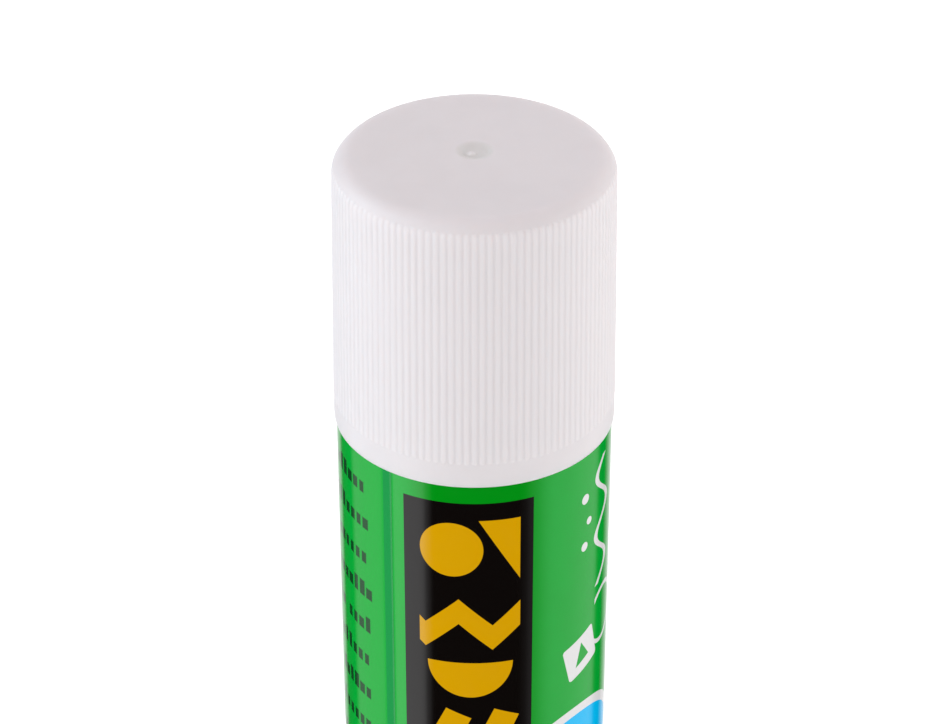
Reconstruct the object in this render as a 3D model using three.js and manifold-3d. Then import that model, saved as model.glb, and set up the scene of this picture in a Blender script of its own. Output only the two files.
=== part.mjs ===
// Twist-up glue stick, stored upright and closed.
// Units are millimetres, +Z is up, the origin is the centre of the base on the surface it stands on.
// Azimuth 0 faces -Y (the front) and grows towards +X.
import * as THREE from 'three';
import { mergeVertices } from 'three/addons/utils/BufferGeometryUtils.js';
import Module from 'manifold-3d';

const wasm = await Module();
wasm.setup();

// ---------------------------------------------------------------- driving dimensions
const SIDES = 48;                 // facets round every turned surface

const TOTAL_H = 98.0;             // base to cap top
const CAP_H = 27.57;
const CAP_Z = TOTAL_H - CAP_H;    // lower edge of the cap
const CAP_R_LOW = 13.38;          // widest, just above the lower edge
const CAP_R_HIGH = 13.0;          // just under the top rounding
const CAP_ROUND = 1.74;           // top edge rounding
const CAP_TOP_T = 1.53;           // thickness of the cap's top
const CAP_BORE_LOW = 11.9;
const CAP_BORE_HIGH = 11.6;
const GATE_R = 1.85;              // shallow moulding gate dimple in the top, a little behind the axis
const GATE_DEPTH = 0.3;
const GATE_AT = [0.05, 0.72];

const SEAL_R = 10.25;             // plug ring that closes the mouth
const SEAL_T = 0.8;
const SEAL_LOW = 15.5;            // above the cap's lower edge

const BARREL_R = 12.98;           // under the label
const BARREL_LOW = 11.2;          // shoulder above the knob
const SHOULDER_Z = 70.17;         // shoulder under the cap
const NECK_R = 11.5;
const NECK_TOP = 88.0;
const BEAD_R = 11.8;              // snap bead on the neck
const BEAD_Z = 75.5;
const BORE_R = 10.6;
const COLLAR_R = 11.6;            // runs inside the knob
const COLLAR_LOW = 3.2;
const WEB_LOW = 5.2;              // floor of the barrel
const WEB_HIGH = 7.0;
const WEB_HOLE_R = 3.75;
const KEY_COUNT = 4;              // keys along the bore stop the carrier turning
const KEY_W = 1.0;
const KEY_H = 0.5;
const KEY_LOW = 11.0;
const KEY_HIGH = 85.0;

const FILM_GAP = 0.06;            // adhesive layer between barrel and film
const FILM_T = 0.07;
const FILM_LOW = 11.5;
const FILM_HIGH = 70.3;
const SEAM_FROM = -40.3;          // azimuth where the film starts
const SEAM_TO = -36.0;            // azimuth where the film ends, lapped over its start

const KNOB_H = 10.9;
const KNOB_R = 13.38;
const KNOB_BORE = 12.0;
const SOCKET_R = 4.05;            // hexagon, across its corners
const BOSS_R = 5.4;
const BOSS_HIGH = 4.9;

const LEAD = 5.0;                 // left-hand, one start
const THREAD_R = 2.85;
const CORE_R = 2.15;
const THREAD_LOW = 8.8;
const SPINDLE_TOP = 79.4;
const HEX_R = 3.7;
const SHANK_R = 3.35;
const SNAP_R = 4.5;               // cone that holds the spindle above the barrel's floor

const CARRIER_R = 10.25;
const CARRIER_LOW = 9.2;
const CARRIER_HIGH = 21.0;
const CUP_R = 9.35;
const CUP_FLOOR = 10.6;
const NUT_R = 4.5;
const NUT_HIGH = 18.0;
const RUN_GAP = 0.3;              // thread clearance

const GLUE_R = 10.3;
const GLUE_TOP = 85.5;
const GLUE_FOOT_R = 9.05;         // the part cast into the carrier's cup
const GLUE_BORE = 3.2;

// ---------------------------------------------------------------- helpers
const rad = (degrees) => (degrees * Math.PI) / 180;

// A closed mesh with shared vertices, no empty triangles, faces pointing out.
function tidy(geometry) {
  geometry.deleteAttribute('normal');
  geometry.deleteAttribute('uv');
  const merged = mergeVertices(geometry, 1e-4);
  const p = merged.attributes.position;
  const index = merged.index.array;
  const kept = [];
  let volume = 0;
  const a = new THREE.Vector3();
  const b = new THREE.Vector3();
  const c = new THREE.Vector3();
  for (let i = 0; i < index.length; i += 3) {
    const [u, v, w] = [index[i], index[i + 1], index[i + 2]];
    if (u === v || v === w || w === u) continue;
    kept.push(u, v, w);
    a.fromBufferAttribute(p, u);
    b.fromBufferAttribute(p, v);
    c.fromBufferAttribute(p, w);
    volume += a.dot(b.cross(c));
  }
  if (volume < 0) {
    for (let i = 0; i < kept.length; i += 3) [kept[i + 1], kept[i + 2]] = [kept[i + 2], kept[i + 1]];
  }
  merged.setIndex(kept);
  return merged;
}

function solid(geometry) {
  const g = tidy(geometry);
  return new wasm.Manifold(new wasm.Mesh({
    numProp: 3,
    vertProperties: new Float32Array(g.attributes.position.array),
    triVerts: new Uint32Array(g.index.array),
  }));
}

function geometryOf(manifold) {
  const mesh = manifold.getMesh();
  const g = new THREE.BufferGeometry();
  const positions = new Float32Array((mesh.vertProperties.length / mesh.numProp) * 3);
  for (let i = 0; i < positions.length / 3; i += 1) {
    for (let k = 0; k < 3; k += 1) positions[3 * i + k] = mesh.vertProperties[mesh.numProp * i + k];
  }
  g.setAttribute('position', new THREE.BufferAttribute(positions, 3));
  g.setIndex(Array.from(mesh.triVerts));
  return g;
}

// Turned solid from [radius, height] pairs.
function turned(profile, sides = SIDES) {
  const g = new THREE.LatheGeometry(profile.map(([r, z]) => new THREE.Vector2(r, z)), sides);
  g.rotateX(Math.PI / 2);
  return g;
}

// Upright bar between two radii at an azimuth.
function bar(azimuth, width, from, to, low, high) {
  const g = new THREE.BoxGeometry(width, to - from, high - low);
  g.translate(0, -(from + to) / 2, (low + high) / 2);
  g.rotateZ(rad(azimuth));
  return g;
}

// Round bar with a left-hand helical thread, with cone-shaped ends to be trimmed.
// grow widens the thread on every flank, for cutting the nut.
function threaded(low, high, grow, sides = 18) {
  const crest = 1.0 + 2 * grow;
  const flank = 0.5;
  const root = LEAD - crest - 2 * flank;
  const steps = [[0, CORE_R + grow], [root, CORE_R + grow], [root + flank, THREAD_R + grow], [root + flank + crest, THREAD_R + grow]];
  const per = steps.length;
  const turns = Math.ceil((high - low) / LEAD) + 2;
  const rows = turns * per;
  const base = low - LEAD;
  const phase = -LEAD * Math.floor(base / LEAD) + base;
  const point = (row, column) => {
    const turn = Math.floor(row / per);
    const [dz, r] = steps[row - turn * per];
    const a = (2 * Math.PI * column) / sides;
    const z = base - phase + turn * LEAD + dz - (LEAD * column) / sides + LEAD;
    return [r * Math.sin(a), -r * Math.cos(a), z];
  };
  const positions = [];
  const ids = new Map();
  const id = (row, column) => {
    const key = column === sides ? `${row - per},0` : `${row},${column}`;
    if (!ids.has(key)) {
      ids.set(key, positions.length / 3);
      const [r2, c2] = column === sides ? [row - per, 0] : [row, column];
      positions.push(...point(r2, c2));
    }
    return ids.get(key);
  };
  const index = [];
  for (let row = 0; row < rows; row += 1) {
    for (let column = 0; column < sides; column += 1) {
      const [a, b, c, d] = [id(row, column), id(row, column + 1), id(row + 1, column + 1), id(row + 1, column)];
      index.push(a, b, c, a, c, d);
    }
  }
  const fan = (loop, centre, flip) => {
    const hub = positions.length / 3;
    positions.push(0, 0, centre);
    loop.forEach((v, i) => {
      const w = loop[(i + 1) % loop.length];
      if (flip) index.push(hub, w, v);
      else index.push(hub, v, w);
    });
  };
  const bottom = [];
  for (let column = 0; column < sides; column += 1) bottom.push(id(0, column));
  for (let row = -per; row < 0; row += 1) bottom.push(id(row, 0));
  const top = [];
  for (let column = 0; column < sides; column += 1) top.push(id(rows, column));
  for (let row = rows - per; row < rows; row += 1) top.push(id(row, 0));
  fan(bottom, base - phase - LEAD, true);
  fan(top, base - phase + (turns + 1) * LEAD + LEAD, false);
  const g = new THREE.BufferGeometry();
  g.setAttribute('position', new THREE.BufferAttribute(new Float32Array(positions), 3));
  g.setIndex(index);
  return solid(g);
}

const object = new THREE.Group();
object.name = 'glue_stick';

function add(name, geometry, color, roughness) {
  const g = geometry.index ? geometry.toNonIndexed() : geometry;
  g.computeVertexNormals();
  const mesh = new THREE.Mesh(tidy(g), new THREE.MeshStandardMaterial({ color, roughness, metalness: 0 }));
  mesh.name = name;
  object.add(mesh);
}

const keyAngles = Array.from({ length: KEY_COUNT }, (_, i) => 45 + (360 / KEY_COUNT) * i);

// ---------------------------------------------------------------- cap
{
  const rounding = [0, 22.5, 45, 67.5, 90].map((t) => [
    CAP_R_HIGH - CAP_ROUND + CAP_ROUND * Math.cos(rad(t)),
    TOTAL_H - CAP_ROUND + CAP_ROUND * Math.sin(rad(t)),
  ]);
  const inside = TOTAL_H - CAP_TOP_T;
  const profile = [
    [13.2, CAP_Z],
    [13.31, CAP_Z + 0.13],
    [13.36, CAP_Z + 0.6],
    [CAP_R_LOW, CAP_Z + 2.6],
    ...rounding,
    [0, TOTAL_H],
  ];
  const hollow = [
    [0, inside],
    [SEAL_R - SEAL_T - 0.25, inside],
    [SEAL_R - SEAL_T, inside - 0.3],
    [SEAL_R - SEAL_T + 0.05, CAP_Z + SEAL_LOW + 0.3],
    [SEAL_R - SEAL_T + 0.2, CAP_Z + SEAL_LOW],
    [SEAL_R - 0.2, CAP_Z + SEAL_LOW],
    [SEAL_R, CAP_Z + SEAL_LOW + 0.4],
    [SEAL_R + 0.05, inside],
    [CAP_BORE_HIGH - 0.35, inside],
    [CAP_BORE_HIGH, inside - 0.5],
    [CAP_BORE_LOW, BEAD_Z + 1.3],
    [CAP_BORE_LOW + 0.25, BEAD_Z + 0.5],
    [CAP_BORE_LOW + 0.25, BEAD_Z - 0.5],
    [CAP_BORE_LOW, BEAD_Z - 1.3],
    [CAP_BORE_LOW + 0.05, CAP_Z + 0.6],
    [CAP_BORE_LOW + 0.4, CAP_Z],
    [13.2, CAP_Z],
  ];
  // One loop: up the outside to the axis, then from the axis down the inside.
  const shell = solid(turned([...profile, ...hollow]));
  const dimple = turned([
    [0, TOTAL_H - GATE_DEPTH + 0.17],
    [0.42, TOTAL_H - GATE_DEPTH + 0.15],
    [0.55, TOTAL_H - GATE_DEPTH],
    [GATE_R - 0.75, TOTAL_H - GATE_DEPTH],
    [GATE_R, TOTAL_H],
    [GATE_R, TOTAL_H + 0.2],
    [0, TOTAL_H + 0.2],
  ], 24);
  dimple.translate(GATE_AT[0], GATE_AT[1], 0);
  add('cap', geometryOf(shell.subtract(solid(dimple))), 0xe6e2e4, 0.5);
}

// ---------------------------------------------------------------- barrel
{
  const shell = solid(turned([
    [10.1, COLLAR_LOW],
    [COLLAR_R - 0.3, COLLAR_LOW],
    [COLLAR_R, COLLAR_LOW + 0.4],
    [COLLAR_R, BARREL_LOW],
    [BARREL_R - 0.3, BARREL_LOW],
    [BARREL_R, BARREL_LOW + 0.25],
    [BARREL_R, SHOULDER_Z - 0.25],
    [BARREL_R - 0.3, SHOULDER_Z],
    [NECK_R, SHOULDER_Z],
    [NECK_R, BEAD_Z - 0.9],
    [BEAD_R, BEAD_Z - 0.3],
    [BEAD_R, BEAD_Z + 0.3],
    [NECK_R, BEAD_Z + 1.1],
    [NECK_R - 0.08, NECK_TOP - 0.4],
    [NECK_R - 0.3, NECK_TOP],
    [BORE_R + 0.25, NECK_TOP],
    [BORE_R, NECK_TOP - 0.3],
    [BORE_R, WEB_HIGH + 0.3],
    [BORE_R - 0.3, WEB_HIGH],
    [WEB_HOLE_R, WEB_HIGH],
    [WEB_HOLE_R, WEB_LOW],
    [10.1, WEB_LOW],
    [10.1, COLLAR_LOW],
  ]));
  let barrel = shell;
  for (const a of keyAngles) {
    barrel = barrel.add(solid(bar(a, KEY_W, BORE_R - KEY_H, BORE_R + 0.4, KEY_LOW, KEY_HIGH)));
  }
  add('barrel', geometryOf(barrel), 0xecebea, 0.45);
}

// ---------------------------------------------------------------- label: one turn of film with its end lapped over its start
{
  const under = BARREL_R + FILM_GAP;
  const over = under + FILM_T + 0.03;
  const rampFrom = SEAM_FROM + 360 - 8;
  const rampTo = SEAM_FROM + 360 - 1;
  const end = SEAM_TO + 360;
  const angles = [SEAM_FROM];
  for (let a = -37.5; a <= 307.5; a += 7.5) angles.push(a);
  angles.push(rampTo, end - 4, end);
  const radius = (a) => {
    if (a <= rampFrom) return under;
    if (a >= rampTo) return over;
    return under + ((over - under) * (a - rampFrom)) / (rampTo - rampFrom);
  };
  const at = (a, r) => new THREE.Vector2(r * Math.sin(rad(a)), -r * Math.cos(rad(a)));
  const outline = [
    ...angles.map((a) => at(a, radius(a) + FILM_T)),
    ...angles.slice().reverse().map((a) => at(a, radius(a))),
  ];
  const g = new THREE.ExtrudeGeometry(new THREE.Shape(outline), { depth: FILM_HIGH - FILM_LOW, bevelEnabled: false, steps: 1 });
  g.translate(0, 0, FILM_LOW);
  add('label', g, 0x1f9e45, 0.3);
}

// ---------------------------------------------------------------- glue: cast round the carrier, with a blind bore over the spindle
{
  let glue = solid(turned([
    [GLUE_FOOT_R, CUP_FLOOR + RUN_GAP],
    [GLUE_FOOT_R, CARRIER_HIGH + RUN_GAP],
    [GLUE_R, CARRIER_HIGH + RUN_GAP],
    [GLUE_R, GLUE_TOP - 0.4],
    [GLUE_R - 0.4, GLUE_TOP],
    [0, GLUE_TOP],
    [0, SPINDLE_TOP + 1.4],
    [GLUE_BORE, SPINDLE_TOP + 0.6],
    [GLUE_BORE, NUT_HIGH + RUN_GAP],
    [NUT_R + RUN_GAP, NUT_HIGH + RUN_GAP],
    [NUT_R + RUN_GAP, CUP_FLOOR + RUN_GAP],
    [GLUE_FOOT_R, CUP_FLOOR + RUN_GAP],
  ]));
  for (const a of keyAngles) {
    glue = glue.subtract(solid(bar(a, KEY_W + 0.6, BORE_R - KEY_H - 0.3, BORE_R + 1, CARRIER_HIGH - 1, GLUE_TOP + 1)));
  }
  add('glue', geometryOf(glue), 0xf3f0e4, 0.6);
}

// ---------------------------------------------------------------- carrier: cup with the nut that climbs the spindle
{
  let carrier = solid(turned([
    [0, CARRIER_LOW],
    [CARRIER_R - 0.35, CARRIER_LOW],
    [CARRIER_R, CARRIER_LOW + 0.35],
    [CARRIER_R, CARRIER_HIGH - 0.3],
    [CARRIER_R - 0.25, CARRIER_HIGH],
    [CUP_R + 0.25, CARRIER_HIGH],
    [CUP_R, CARRIER_HIGH - 0.3],
    [CUP_R, CUP_FLOOR],
    [NUT_R, CUP_FLOOR],
    [NUT_R, NUT_HIGH],
    [0, NUT_HIGH],
  ]));
  for (const a of keyAngles) {
    carrier = carrier.subtract(solid(bar(a, KEY_W + 0.7, BORE_R - KEY_H - 0.35, BORE_R + 1, CARRIER_LOW - 1, CARRIER_HIGH + 1)));
  }
  carrier = carrier.subtract(threaded(CARRIER_LOW - 1, NUT_HIGH + 1, RUN_GAP));
  add('carrier', geometryOf(carrier), 0xe8e6e2, 0.5);
}

// ---------------------------------------------------------------- spindle: hexagon foot, shank, snap cone, thread
{
  const foot = new THREE.CylinderGeometry(HEX_R, HEX_R, 2.35, 6);
  foot.rotateX(Math.PI / 2);
  foot.translate(0, 0, 2.35 + 2.35 / 2);
  const shank = turned([
    [0, 4.4],
    [SHANK_R, 4.4],
    [SHANK_R, 7.4],
    [SNAP_R, 7.4],
    [SNAP_R, 7.8],
    [2.6, 8.8],
    [1.9, 9.6],
    [0, 9.6],
  ], 24);
  const trim = turned([
    [0, THREAD_LOW - 0.4],
    [THREAD_R + 1, THREAD_LOW - 0.4],
    [THREAD_R + 1, SPINDLE_TOP - 1.7],
    [1.9, SPINDLE_TOP],
    [0, SPINDLE_TOP],
  ], 24);
  const spindle = threaded(THREAD_LOW, SPINDLE_TOP, 0)
    .intersect(solid(trim))
    .add(solid(shank))
    .add(solid(foot));
  add('spindle', geometryOf(spindle), 0xe4e4e6, 0.5);
}

// ---------------------------------------------------------------- knob: twist base
{
  let knob = solid(turned([
    [10.6, 0],
    [12.75, 0],
    [13.1, 0.3],
    [13.3, 0.9],
    [KNOB_R, 1.8],
    [KNOB_R - 0.04, KNOB_H - 2.4],
    [13.28, KNOB_H - 1.0],
    [13.1, KNOB_H - 0.25],
    [12.85, KNOB_H],
    [KNOB_BORE + 0.25, KNOB_H],
    [KNOB_BORE, KNOB_H - 0.3],
    [KNOB_BORE, 2.5],
    [KNOB_BORE - 0.3, 2.2],
    [BOSS_R + 0.2, 2.2],
    [BOSS_R, 2.4],
    [BOSS_R, BOSS_HIGH],
    [0, BOSS_HIGH],
    [0, 0.95],
    [0.6, 0.95],
    [1.3, 0.7],
    [10.3, 0.7],
    [10.6, 0],
  ]));
  const socket = new THREE.CylinderGeometry(SOCKET_R, SOCKET_R, 4, 6);
  socket.rotateX(Math.PI / 2);
  socket.translate(0, 0, 2.05 + 2);
  knob = knob.subtract(solid(socket));
  add('knob', geometryOf(knob), 0xe6e2e4, 0.5);
}

export default object;
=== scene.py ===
# Looks of the twist-up glue stick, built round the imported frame. Lengths in the builders are millimetres.
import math

import bpy
import numpy as np
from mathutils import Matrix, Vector


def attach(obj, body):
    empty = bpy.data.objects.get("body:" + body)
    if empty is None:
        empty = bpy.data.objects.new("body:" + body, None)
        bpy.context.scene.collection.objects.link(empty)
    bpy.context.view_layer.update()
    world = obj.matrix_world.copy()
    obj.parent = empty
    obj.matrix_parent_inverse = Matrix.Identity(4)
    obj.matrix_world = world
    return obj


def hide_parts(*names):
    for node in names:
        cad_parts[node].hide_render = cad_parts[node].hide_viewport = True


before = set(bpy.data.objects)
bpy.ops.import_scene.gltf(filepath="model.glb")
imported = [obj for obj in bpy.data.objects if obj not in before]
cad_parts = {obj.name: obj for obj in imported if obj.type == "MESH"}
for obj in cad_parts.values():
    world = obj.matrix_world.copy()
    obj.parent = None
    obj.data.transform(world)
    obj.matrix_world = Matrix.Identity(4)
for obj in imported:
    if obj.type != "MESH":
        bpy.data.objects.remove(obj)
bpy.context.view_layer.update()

MM = 0.001
for unused in ("Cube", "Light", "Camera"):
    if unused in bpy.data.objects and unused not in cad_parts:
        bpy.data.objects.remove(bpy.data.objects[unused])

# ------------------------------------------------------------------ dimensions, mm
TOP = 98.0
CAP_Z = 70.43
RIBS = 118
RIB_H = 0.06             # how proud the ribs stand
RIB_FLAT, RIB_FOOT = 0.12, 0.31    # half widths of a rib's crest and of its foot
RIB_PITCH = 2 * math.pi * 13.2 / RIBS
BARREL_R = 12.98
FILM_T = 0.07
FILM_R = 13.11
SEAM_FROM, SEAM_TO = -40.3, -36.0
KEYS = (45.0, 135.0, 225.0, 315.0)


# ------------------------------------------------------------------ mesh builders
def link(obj):
    bpy.context.scene.collection.objects.link(obj)
    return obj


def mesh_object(name, verts, faces, material, smooth=True):
    """A mesh from mm coordinates, with its faces turned outwards."""
    verts = np.asarray(verts, float)
    fans = np.array([(f[0], f[i], f[i + 1]) for f in faces for i in range(1, len(f) - 1)])
    a, b, c = verts[fans[:, 0]], verts[fans[:, 1]], verts[fans[:, 2]]
    if float(np.einsum("ij,ij->", a, np.cross(b, c))) < 0:
        faces = [tuple(reversed(f)) for f in faces]
    me = bpy.data.meshes.new(name)
    me.from_pydata((verts * MM).tolist(), [], faces)
    me.polygons.foreach_set("use_smooth", [smooth] * len(me.polygons))
    me.materials.append(material)
    me.update()
    return link(bpy.data.objects.new(name, me))


def arc(cx, cz, r, a0, a1, n):
    return [(cx + r * math.cos(math.radians(a0 + (a1 - a0) * i / n)), cz + r * math.sin(math.radians(a0 + (a1 - a0) * i / n))) for i in range(n + 1)]


def rounded(points, closed=True, hold=0.02):
    """A profile with its corners rounded. Each point is (r, z) or (r, z, radius); tangent points get a close second one, to hold flat shading flat."""
    out = []
    n = len(points)
    for i, p in enumerate(points):
        r, z = p[0], p[1]
        rad = p[2] if len(p) > 2 else 0
        if not rad or (not closed and i in (0, n - 1)):
            out.append((r, z))
            continue
        a, c = points[i - 1], points[(i + 1) % n]
        u = np.array([a[0] - r, a[1] - z], float)
        v = np.array([c[0] - r, c[1] - z], float)
        lu, lv = np.linalg.norm(u), np.linalg.norm(v)
        u, v = u / lu, v / lv
        ang = math.acos(max(-1, min(1, float(u @ v))))
        t = rad / math.tan(ang / 2)
        t = min(t, 0.48 * lu, 0.48 * lv)
        rr = t * math.tan(ang / 2)
        mid = (u + v) / np.linalg.norm(u + v)
        centre = np.array([r, z]) + mid * rr / math.sin(ang / 2)
        p0, p1 = np.array([r, z]) + u * t, np.array([r, z]) + v * t
        if 0.48 * lu - t > hold:
            out.append(tuple(p0 + u * hold))
        steps = 5 if rr > 0.4 else 4 if rr > 0.15 else 3
        a0 = math.atan2(*(p0 - centre)[::-1])
        a1 = math.atan2(*(p1 - centre)[::-1])
        d = (a1 - a0 + math.pi) % (2 * math.pi) - math.pi
        for k in range(steps + 1):
            th = a0 + d * k / steps
            out.append((centre[0] + rr * math.cos(th), centre[1] + rr * math.sin(th)))
        if 0.48 * lv - t > hold:
            out.append(tuple(p1 + v * hold))
    return out


def hexagon(degrees, corner):
    """Radius of a hexagon with a corner at the front."""
    side = np.abs(np.mod(degrees, 60.0) - 30.0)
    return corner * math.cos(math.radians(30)) / np.cos(np.radians(side))


def revolve(name, rows, angles, material, closed=True, offset=None, every=1, mask=None, lean=False):
    """Turned solid. A row is (r, z) or (r, z, tag): offset(angles, r, z, tag) gives radii to add.
    A tag of "coarse" takes each every-th azimuth only; ("ring", x, y) is coarse, centred on x, y; "hex" is a coarse hexagon, r across its corners.
    Azimuths are degrees from the front.
    lean splits each face along a left-hand helix."""
    fine = np.asarray(angles, float)
    few = fine[::every]
    verts, rings, marks = [], [], []
    for row in rows:
        r, z = row[0], row[1]
        tag = row[2] if len(row) > 2 else None
        ring = isinstance(tag, tuple)
        x0, y0 = tag[1:] if ring else (0.0, 0.0)
        if r < 1e-6:
            rings.append((len(verts), 1))
            verts.append((x0, y0, z))
            marks.append(0.0)
            continue
        deg = few if ring or tag in ("coarse", "hex") else fine
        a = np.radians(deg)
        rr = hexagon(deg, r) if tag == "hex" else np.full(len(a), float(r))
        if offset is not None and not ring and tag not in ("coarse", "hex"):
            extra = offset(deg, r, z, tag)
            marks.extend(extra / mask if mask else np.zeros(len(a)))
            rr = rr + extra
        else:
            marks.extend(np.zeros(len(a)))
        rings.append((len(verts), len(a)))
        verts.extend(zip(x0 + rr * np.sin(a), y0 - rr * np.cos(a), np.full(len(a), z)))
    faces = []
    pairs = list(zip(range(len(rows)), list(range(1, len(rows))) + [0]))
    if not closed:
        pairs = pairs[:-1]
    for i, j in pairs:
        (s0, n0), (s1, n1) = rings[i], rings[j]
        if n0 == 1 and n1 == 1:
            continue
        if n0 == 1:
            faces += [(s0, s1 + (k + 1) % n1, s1 + k) for k in range(n1)]
        elif n1 == 1:
            faces += [(s0 + k, s0 + (k + 1) % n0, s1) for k in range(n0)]
        elif n0 == n1 and lean:
            for k in range(n0):
                a, b, c, d = s0 + k, s0 + (k + 1) % n0, s1 + (k + 1) % n1, s1 + k
                if rows[j][1] < rows[i][1]:
                    faces += [(a, b, c), (a, c, d)]
                else:
                    faces += [(a, b, d), (b, c, d)]
        elif n0 == n1:
            faces += [(s0 + k, s0 + (k + 1) % n0, s1 + (k + 1) % n1, s1 + k) for k in range(n0)]
        elif n0 > n1:
            for k in range(n1):
                low = [s0 + (k * every + t) % n0 for t in range(every + 1)]
                half = every // 2
                faces += [(low[t], low[t + 1], s1 + k) for t in range(half)]
                faces.append((low[half], s1 + (k + 1) % n1, s1 + k))
                faces += [(low[t], low[t + 1], s1 + (k + 1) % n1) for t in range(half, every)]
        else:
            for k in range(n0):
                up = [s1 + (k * every + t) % n1 for t in range(every + 1)]
                half = every // 2
                faces += [(up[t + 1], up[t], s0 + k) for t in range(half)]
                faces.append((s0 + k, s0 + (k + 1) % n0, up[half]))
                faces += [(up[t + 1], up[t], s0 + (k + 1) % n0) for t in range(half, every)]
    obj = mesh_object(name, verts, faces, material)
    if mask:
        layer = obj.data.attributes.new("rib", "FLOAT", "POINT")
        layer.data.foreach_set("value", np.asarray(marks, np.float32))
    return obj


def rib_angles():
    """Azimuths that follow a rib's crest, flanks and foot: ten to a rib."""
    shares = [-0.5] + [w / RIB_PITCH for w in (-0.31, -0.255, -0.2, -0.13, 0.0, 0.13, 0.2, 0.255, 0.31)]
    return [360.0 / RIBS * (i + share) for i in range(RIBS) for share in shares]


def rib_offset(degrees, r, z, tag):
    """tag is the distance past a rib's end in mm, or None where there are no ribs."""
    if tag is None:
        return np.zeros(len(degrees))
    share = np.mod(degrees * RIBS / 360.0 + 0.5, 1.0) - 0.5
    d = np.sqrt((share * RIB_PITCH) ** 2 + tag ** 2)
    t = np.clip((RIB_FOOT - d) / (RIB_FOOT - RIB_FLAT), 0.0, 1.0)
    return RIB_H * t * t * (3 - 2 * t)


def coarse(points):
    return [(p[0], p[1], "coarse") for p in points]


def key_angles(n=180):
    """Even azimuths, plus those of the four keys' sides."""
    out = set(np.round(np.arange(n) * 360.0 / n, 4))
    for k in KEYS:
        for d in (-3.5, -2.75, -2.6, 2.6, 2.75, 3.5):
            out.add(round((k + d) % 360, 4))
    return sorted(out)


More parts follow.
